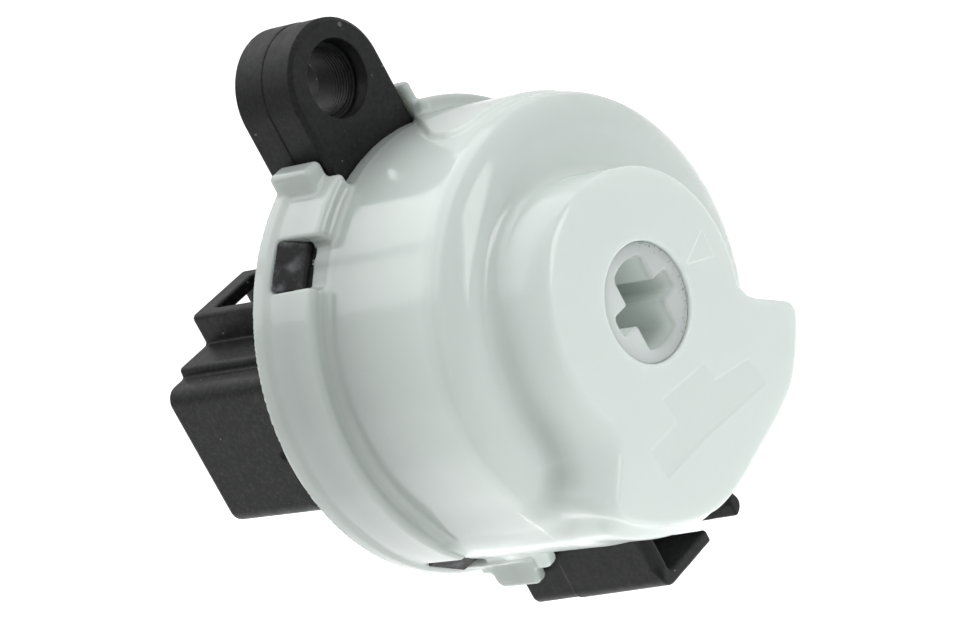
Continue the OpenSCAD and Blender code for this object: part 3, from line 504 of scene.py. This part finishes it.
def settle(shape, v, cell, rounds):
    """Moves vertices onto the zero level along the field's slope."""
    for _ in range(rounds):
        g = gradient(shape, v)
        length = np.maximum((g * g).sum(1), SLOPE_MIN)
        move = (shape(*v.T) / length)[:, None] * g
        v = v - np.clip(move, -cell / 2, cell / 2)
    return v


def mesh_from(name, vertices, faces):
    mesh = bpy.data.meshes.new(name)
    corners = faces.shape[1]
    mesh.vertices.add(len(vertices))
    mesh.vertices.foreach_set("co", (vertices * MM).astype(np.float32).ravel())
    mesh.loops.add(faces.size)
    mesh.loops.foreach_set("vertex_index", faces.astype(np.int32).ravel())
    mesh.polygons.add(len(faces))
    mesh.polygons.foreach_set("loop_start", np.arange(0, faces.size, corners, dtype=np.int32))
    mesh.update(calc_edges=True)
    mesh.validate()
    return mesh


def places(mesh):
    """A mesh's vertices, in millimetres."""
    v = np.empty(3 * len(mesh.vertices), np.float32)
    mesh.vertices.foreach_get("co", v)
    return v.reshape(-1, 3).astype(float) / MM


def skin(name, shape, grid, keep):
    """A piece whose mesh follows a field, thinned to about keep triangles."""
    cell = min(np.diff(lines).min() for lines in grid)
    vertices, faces = surface_net(sample(shape, *grid), grid)
    vertices = settle(shape, vertices, cell, 2)
    piece = bpy.data.objects.new(name, mesh_from(name, vertices, faces))
    bpy.context.collection.objects.link(piece)
    thin = piece.modifiers.new("thin", "DECIMATE")
    thin.ratio = min(keep / (2 * len(faces)), 1.0)
    thin.use_collapse_triangulate = True
    bpy.context.view_layer.update()
    graph = bpy.context.evaluated_depsgraph_get()
    mesh = bpy.data.meshes.new_from_object(piece.evaluated_get(graph))
    piece.modifiers.clear()
    rough = piece.data
    piece.data = mesh
    bpy.data.meshes.remove(rough)
    mesh.name = name
    v = settle(shape, places(mesh), cell, 1)
    mesh.vertices.foreach_set("co", (v * MM).astype(np.float32).ravel())
    normals = gradient(shape, v)
    normals /= np.maximum(np.linalg.norm(normals, axis=1), 1e-6)[:, None]
    mesh.polygons.foreach_set("use_smooth", np.ones(len(mesh.polygons), bool))
    mesh.normals_split_custom_set_from_vertices(normals.tolist())
    mesh.update()
    return piece


def paint_cap(mesh):
    """Paints a highlight (glow) on the cap's sharp edges and shade (dark) on the tail's sunk
    field.
    """
    v = places(mesh)
    x, y, z = v.T
    edges = bend(cap_shape, v) * step(triangle(x, z), *GLOW_CLEAR)
    field = FIELD_SHADE * tail_field(x, z) * (y < FACE_Y)
    for key, values in (("glow", step(edges, *GLOW_BEND)), ("dark", field)):
        layer = mesh.attributes.new(key, "FLOAT", "POINT")
        layer.data.foreach_set("value", values.astype(np.float32))


def ruled(*parts):
    """Grid lines from (start, end, cell) stretches that follow on one another."""
    lines = [np.linspace(a, b, max(int(round((b - a) / c)), 1), endpoint=False)
             for a, b, c in parts]
    return np.append(np.concatenate(lines), parts[-1][1])


# Materials

def material(name):
    mat = bpy.data.materials.new(name)
    mat.use_nodes = True
    mat.node_tree.nodes.clear()
    return mat


def node(mat, kind, props=None, **inputs):
    """A node with its properties set, and its inputs set or linked by name."""
    new = mat.node_tree.nodes.new("ShaderNode" + kind)
    for key, value in (props or {}).items():
        setattr(new, key, value)
    for key, value in inputs.items():
        socket = new.inputs[key.replace("_", " ")]
        if isinstance(value, bpy.types.NodeSocket):
            mat.node_tree.links.new(value, socket)
        else:
            socket.default_value = value
    return new


def noise(mat, place, scale, detail=3.0, rough=0.5):
    return node(mat, "TexNoise", Vector=place, Scale=scale, Detail=detail,
                Roughness=rough).outputs["Fac"]


def ramp(mat, value, *stops):
    """Colours or greys at positions along a factor."""
    new = node(mat, "ValToRGB", Fac=value)
    marks = new.color_ramp.elements
    while len(marks) < len(stops):
        marks.new(0.5)
    for mark, (place, shade) in zip(marks, stops):
        mark.position = place
        mark.color = (*shade, 1) if isinstance(shade, tuple) else (shade, shade, shade, 1)
    return new.outputs["Color"]


def remap(mat, value, low, high, start=0.0, end=1.0, kind="SMOOTHSTEP"):
    """A value taken from low-high to start-end, smoothly or evenly."""
    new = node(mat, "MapRange", {"interpolation_type": kind}, Value=value,
               From_Min=low, From_Max=high, To_Min=start, To_Max=end)
    return new.outputs["Result"]


def fade(mat, place, low, high, start=0.0, end=1.0):
    """A smooth change between two places, which are in millimetres."""
    return remap(mat, place, low * MM, high * MM, start, end)


def work(mat, operation, a, b):
    new = node(mat, "Math", {"operation": operation})
    mat.node_tree.links.new(a, new.inputs[0])
    mat.node_tree.links.new(b, new.inputs[1])
    return new.outputs[0]


def product(mat, value, *others):
    for other in others:
        value = work(mat, "MULTIPLY", value, other)
    return value


def mix(mat, kind, amount, a, b):
    """A linked colour mixed with a set one, by a linked amount."""
    new = node(mat, "Mix", {"data_type": "RGBA", "blend_type": kind})
    mat.node_tree.links.new(amount, new.inputs[0])
    mat.node_tree.links.new(a, new.inputs[6])
    new.inputs[7].default_value = b
    return new.outputs[2]


def coordinates(mat):
    """A point's place on the object, its three axes and its distance from the rotor's axis."""
    place = node(mat, "TexCoord").outputs["Object"]
    axes = node(mat, "SeparateXYZ", Vector=place).outputs
    flat = node(mat, "CombineXYZ", X=axes["X"], Z=axes["Z"]).outputs[0]
    reach = node(mat, "VectorMath", {"operation": "LENGTH"}, Vector=flat).outputs["Value"]
    return place, axes, reach


def seen(mat):
    """1 for rays that look straight at something (camera, mirror or glass), else 0."""
    rays = node(mat, "LightPath").outputs
    direct = work(mat, "MAXIMUM", rays["Is Camera Ray"], rays["Is Glossy Ray"])
    return work(mat, "MAXIMUM", direct, rays["Is Transmission Ray"])


# How the milky wall greys from front to back, where the black inside shows through, together with
# painted shade, deepest on the main face beside the boss and at the foot of the band:
# a place along Y and the share of the tint there
WALL_GREYING_AND_SHADE = ((0.0, 1.0), (3.4, 0.97), (4.8, 0.90), (6.8, 0.94), (8.6, 1.0), (12.0, 0.91),
          (16.0, 0.76), (18.0, 0.67), (19.6, 0.63), (20.3, 0.67), (20.9, 0.75), (23.5, 0.67),
          (28.0, 0.73))
# On the rotor the tint is raised behind the face: painted light on the walls of the socket
ROTOR_TONE_AND_SOCKET_LIGHT = ((0.0, 1.0), (0.55, 1.0), (1.1, 1.22), (30.0, 1.15))
SHADE_DEPTH = 30.0
CAP_TINT, ROTOR_TINT, EDGE_HIGHLIGHT_TINT = (0.76, 0.84, 0.805), (0.70, 0.755, 0.735), (0.88, 0.95, 0.93, 1)


def valley_shade(mat, axes, reach):
    """Less light in the valley round the boss and along the tail's left foot."""
    x, y, z = axes["X"], axes["Y"], axes["Z"]
    ring = product(mat, fade(mat, reach, 12.5, 14.7), fade(mat, reach, 18.0, 14.9),
                   fade(mat, x, 2, -6))
    slope = work(mat, "SUBTRACT", x, z)
    foot = product(mat, fade(mat, slope, -10.5, -7.0), fade(mat, slope, -4.0, -6.8),
                   fade(mat, z, -3, -8), fade(mat, reach, 19.5, 16.5))
    valley = work(mat, "MAXIMUM", ring, foot)
    return product(mat, valley, fade(mat, z, 8, -10, 0.10, 0.26), fade(mat, y, 1.5, 4.2))


def white_plastic(name, tint, shades, scatter, glow, specks_and_darkening):
    """Milky plastic, with a painted highlight on its edges by glow, and dirt in specks and a
    darkening towards the right-hand side by the last argument.
    """
    mat = material(name)
    place, axes, reach = coordinates(mat)
    x, y, z = axes["X"], axes["Y"], axes["Z"]
    # The solid sole stays white
    hollow = work(mat, "MAXIMUM", fade(mat, z, -16.5, -12), fade(mat, y, 20.2, 20.7))
    depth = product(mat, remap(mat, y, 0, SHADE_DEPTH * MM, kind="LINEAR"), hollow)
    cloud = remap(mat, noise(mat, place, 90), 0, 1, -0.012, 0.012, "LINEAR")
    colour = ramp(mat, work(mat, "ADD", depth, cloud),
                  *((at / SHADE_DEPTH, tuple(k * c for c in tint)) for at, k in shades))
    # Painted highlight: a paler tint on the cap's sharp edges, fading out towards the flange
    edge = node(mat, "Attribute", {"attribute_name": "glow"}).outputs["Fac"]
    edge = product(mat, remap(mat, edge, 0, 1, 0, glow), fade(mat, y, 19, 17))
    colour = mix(mat, "MIX", edge, colour, EDGE_HIGHLIGHT_TINT)
    # Less light in the sunk field, the valleys and the wall that shows bare in the windows
    dark = node(mat, "Attribute", {"attribute_name": "dark"}).outputs["Fac"]
    dark = work(mat, "ADD", dark, valley_shade(mat, axes, reach))
    bare = product(mat, fade(mat, reach, 20.7, 20.3), fade(mat, y, 20.2, 20.8, 0, 0.32))
    # Dirt in dark specks on the right-hand rim, and a colour darker towards the right-hand side;
    # the bare wall's painted shade joins them
    darkening = product(mat, fade(mat, reach, 4.2, 5.2), fade(mat, x, 0.5, 3),
                    remap(mat, noise(mat, place, 2800, 4), 0.56, 0.68, 0, specks_and_darkening))
    right_darkening = fade(mat, x, -3.5, 1.5, 0, 0.5 * specks_and_darkening)
    darkening = work(mat, "ADD", darkening, work(mat, "MAXIMUM", right_darkening, bare))
    colour = mix(mat, "MULTIPLY", work(mat, "ADD", dark, darkening), colour, (0, 0, 0, 1))
    gloss = remap(mat, noise(mat, place, 400, 4), 0.3, 0.7, 0.10, 0.15)
    gloss = work(mat, "ADD", gloss, fade(mat, z, -12, -17, 0, 0.11))
    grain = node(mat, "Bump", Strength=0.06, Distance=0.00005, Height=noise(mat, place, 2600, 4))
    shader = node(mat, "BsdfPrincipled", {"subsurface_method": "BURLEY"}, Base_Color=colour,
                  Roughness=gloss, Normal=grain.outputs["Normal"], Subsurface_Weight=0.8,
                  Subsurface_Radius=(1.0, 1.0, 0.9), Subsurface_Scale=scatter)
    node(mat, "OutputMaterial", Surface=shader.outputs["BSDF"])
    return mat


def black_plastic():
    """Satin black, scuffed on the barbs and a little greyer on the connector."""
    mat = material("black_plastic")
    place, axes, reach = coordinates(mat)
    y, z = axes["Y"], axes["Z"]
    scuff = product(mat, fade(mat, reach, 20.2, 21.2), fade(mat, z, 21, 19),
                    remap(mat, noise(mat, place, 450, 6), 0.42, 0.66, 0, 0.6),
                    fade(mat, y, 22.2, 22.8), fade(mat, z, -21, -19))
    speck = remap(mat, noise(mat, place, 1100, 1), 0.76, 0.80, 0, 0.6)
    fine = remap(mat, noise(mat, place, 2400, 4), 0, 1, 0, 0.5, "LINEAR")
    fine = work(mat, "ADD", fine, fade(mat, y, 29, 33, 0, 0.11))
    fine = work(mat, "ADD", fine, work(mat, "MAXIMUM", scuff, speck))
    colour = ramp(mat, fine, (0.17, (0.004, 0.0042, 0.005)), (0.37, (0.013, 0.0133, 0.014)),
                  (0.6, (0.05, 0.052, 0.055)), (1.0, (0.16, 0.165, 0.17)))
    gloss = ramp(mat, noise(mat, place, 900, 5), (0.3, 0.40), (0.7, 0.52))
    grain = node(mat, "Bump", Strength=0.3, Distance=0.00005, Height=noise(mat, place, 3600, 3))
    shader = node(mat, "BsdfPrincipled", Base_Color=colour, Roughness=gloss,
                  Normal=grain.outputs["Normal"], Specular_IOR_Level=0.19)
    node(mat, "OutputMaterial", Surface=shader.outputs["BSDF"])
    return mat


def metal(name, dark, light, rough):
    mat = material(name)
    place = node(mat, "TexCoord").outputs["Object"]
    colour = ramp(mat, noise(mat, place, 500, 4), (0.3, dark), (0.7, light))
    gloss = ramp(mat, noise(mat, place, 1500, 4), (0.3, rough), (0.7, rough + 0.12))
    grain = node(mat, "Bump", Strength=0.1, Distance=0.00003, Height=noise(mat, place, 5000, 2))
    shader = node(mat, "BsdfPrincipled", Base_Color=colour, Roughness=gloss, Metallic=1.0,
                  Normal=grain.outputs["Normal"])
    node(mat, "OutputMaterial", Surface=shader.outputs["BSDF"])
    return mat


def nylon():
    mat = material("nylon")
    place = node(mat, "TexCoord").outputs["Object"]
    colour = ramp(mat, noise(mat, place, 300),
                  (0.3, (0.62, 0.57, 0.45)), (0.7, (0.70, 0.65, 0.53)))
    gloss = ramp(mat, noise(mat, place, 900), (0.3, 0.34), (0.7, 0.46))
    shader = node(mat, "BsdfPrincipled", Base_Color=colour, Roughness=gloss)
    node(mat, "OutputMaterial", Surface=shader.outputs["BSDF"])
    return mat


def floor_white():
    """A matt floor, lifted to white for what sees it, with the object's shadow kept."""
    mat = material("floor_white")
    lift = remap(mat, seen(mat), 0, 1, 0, FLOOR_LIFT)
    glow = node(mat, "Emission", Color=(1, 1, 1, 1), Strength=lift)
    matte = node(mat, "BsdfDiffuse", Color=(0.86, 0.86, 0.86, 1))
    blend = node(mat, "AddShader")
    mat.node_tree.links.new(glow.outputs[0], blend.inputs[0])
    mat.node_tree.links.new(matte.outputs[0], blend.inputs[1])
    node(mat, "OutputMaterial", Surface=blend.outputs[0])
    return mat


# Stage, in metres and watts

FLOOR_Z, FLOOR_HALF, FLOOR_LIFT = -0.08, 1.5, 0.55
WORLD_GREY, WORLD_LIGHT = (0.8, 0.8, 0.8, 1), 0.36  # colour, and strength where not seen
# Soft boxes that look at the object: name, place, size and power
LAMPS = (
    ("overhead", (-0.05, 0.1, 0.65), (1.2, 0.8), 3.9),
    ("back", (0.1, 0.5, 0.46), (0.46, 0.2), 0.5),
    ("panel", (-0.26, 0.5, 0.42), (0.2, 0.2), 0.2),
    ("front", (0.25, -0.72, 0.24), (0.3, 0.5), 1.7),
    ("table", (0, 0, -0.074), (0.24, 0.24), 0.085),
)
# The photograph's camera, worked out from the object's round edges
CAMERA_AT = (-0.26344, -0.27161, 0.13053)
CAMERA_TURN = ((0.5563, -0.6999, -0.4481),  # to its right, up and back
               (0.5352, -0.1108, 0.8374),
               (-0.6357, -0.7056, 0.3129))
SENSOR, LENS, CLIP = 36.0, 169.3, (0.01, 20.0)


def stage_floor(height, half):
    mesh = bpy.data.meshes.new("floor")
    mesh.from_pydata([(-half, -half, height), (half, -half, height), (half, half, height),
                      (-half, half, height)], [], [(0, 1, 2, 3)])
    mesh.materials.append(floor_white())
    floor = bpy.data.objects.new("floor", mesh)
    bpy.context.collection.objects.link(floor)


def area_light(name, place, size, power):
    """A soft box that faces the object, its first side as near to X as that allows."""
    light = bpy.data.lights.new(name, "AREA")
    light.shape = "RECTANGLE"
    light.size, light.size_y = size
    light.energy = power
    lamp = bpy.data.objects.new(name, light)
    back = Vector(place).normalized()
    side = Vector((1, 0, 0))
    side = (side - side.dot(back) * back).normalized()
    turn = Matrix((side, back.cross(side), back)).transposed()
    lamp.matrix_world = Matrix.Translation(place) @ turn.to_4x4()
    bpy.context.collection.objects.link(lamp)


def studio():
    scene = bpy.context.scene
    scene.view_settings.view_transform = "Standard"
    world = bpy.data.worlds.new("studio")
    scene.world = world
    world.use_nodes = True
    world.node_tree.nodes.clear()
    strength = remap(world, seen(world), 0, 1, WORLD_LIGHT, 1)
    back = node(world, "Background", Color=WORLD_GREY, Strength=strength)
    node(world, "OutputWorld", Surface=back.outputs[0])
    for lamp in LAMPS:
        area_light(*lamp)


def camera():
    data = bpy.data.cameras.new("camera")
    data.sensor_width, data.lens = SENSOR, LENS
    data.clip_start, data.clip_end = CLIP
    cam = bpy.data.objects.new("camera", data)
    turn = Matrix(CAMERA_TURN).transposed()
    cam.matrix_world = Matrix.Translation(CAMERA_AT) @ turn.to_4x4()
    bpy.context.collection.objects.link(cam)
    bpy.context.scene.camera = cam


def dress(piece, body, node_name, mat):
    piece.data.materials.append(mat)
    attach(piece, body)
    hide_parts(node_name)


def spring(node_name, axis, wire, mat):
    """A copy of a packed spring, in the given metal, that stays where the packed one stands.

    The places one wire in from its ends are worked out, but nothing uses them.
    """
    piece = bpy.data.objects.new(node_name + "_coil", bpy.data.objects[node_name].data.copy())
    bpy.context.collection.objects.link(piece)
    piece.data.materials.clear()
    piece.data.materials.append(mat)
    ends = sorted(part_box(node_name), key=lambda corner: abs(corner[axis]))
    middle = (Vector(ends[0]) + Vector(ends[1])) / 2
    start, end = middle.copy(), middle.copy()
    whole = np.copysign(wire * MM, ends[1][axis])
    start[axis] = ends[0][axis] + whole
    end[axis] = ends[1][axis] - whole
    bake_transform(piece)
    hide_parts(node_name)


# Grid lines for the skins, finer where the form is fine, and the triangles that they keep
CAP_GRID = (ruled((-23, -4.5, 0.26), (-4.5, 10.6, 0.16), (10.6, 23, 0.26)),
            ruled((-0.6, -0.3, 0.1), (-0.3, 0.3, 0.06), (0.3, 29, 0.26)),
            ruled((-24, -14.6, 0.26), (-14.6, 2.2, 0.16), (2.2, 23.6, 0.26)))
BASE_GRID = (ruled((-20.6, -6.9, 0.26), (-6.9, 6.9, 0.17), (6.9, 20.6, 0.3)),
             ruled((7.0, 21.6, 0.24), (21.6, 30.2, 0.13), (30.2, 53.2, 0.3)),
             ruled((-27.2, 18.0, 0.27), (18.0, 33.6, 0.17)))
ROTOR_GRID = (ruled((-7.8, 7.8, 0.16)), ruled((-0.1, 25.6, 0.18)), ruled((-7.8, 7.8, 0.16)))
CAP_KEEP, BASE_KEEP, ROTOR_KEEP = 190000, 190000, 60000

camera()
studio()
stage_floor(FLOOR_Z, FLOOR_HALF)

WHITE = white_plastic("white_plastic", CAP_TINT, WALL_GREYING_AND_SHADE, scatter=0.0015, glow=0.3, specks_and_darkening=0.0)
GREY = white_plastic("rotor_white", ROTOR_TINT, ROTOR_TONE_AND_SOCKET_LIGHT, scatter=0.006, glow=0.0, specks_and_darkening=0.35)
BLACK = black_plastic()
STEEL = metal("steel", (0.42, 0.43, 0.45), (0.52, 0.53, 0.55), 0.30)

cap = skin("cap", cap_shape, CAP_GRID, CAP_KEEP)
paint_cap(cap.data)
dress(cap, "housing", "front_housing", WHITE)
base = skin("base", base_shape, BASE_GRID, BASE_KEEP)
dress(base, "housing", "rear_base", BLACK)
rotor = skin("rotor_drive", rotor_shape, ROTOR_GRID, ROTOR_KEEP)
dress(rotor, "rotor", "rotor", GREY)

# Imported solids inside, by how their names start
INNER = {
    "thrust_washer": STEEL,
    "contact_plate": metal("copper", (0.72, 0.36, 0.20), (0.82, 0.44, 0.27), 0.28),
    "terminal": metal("tin", (0.60, 0.59, 0.55), (0.70, 0.69, 0.65), 0.34),
    "detent_plunger": nylon(),
    "contact_carrier": BLACK,
}
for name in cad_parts:
    for start, mat in INNER.items():
        if name.startswith(start):
            part = bpy.data.objects[name]
            part.data.materials.clear()
            part.data.materials.append(mat)

ALONG_X, ALONG_Y = 0, 1
spring("return_spring", ALONG_Y, RETURN_WIRE, STEEL)
for key in "abc":
    spring("contact_spring_" + key, ALONG_Y, CONTACT_WIRE, STEEL)
for key in "ab":
    spring("detent_spring_" + key, ALONG_X, DETENT_WIRE, STEEL)
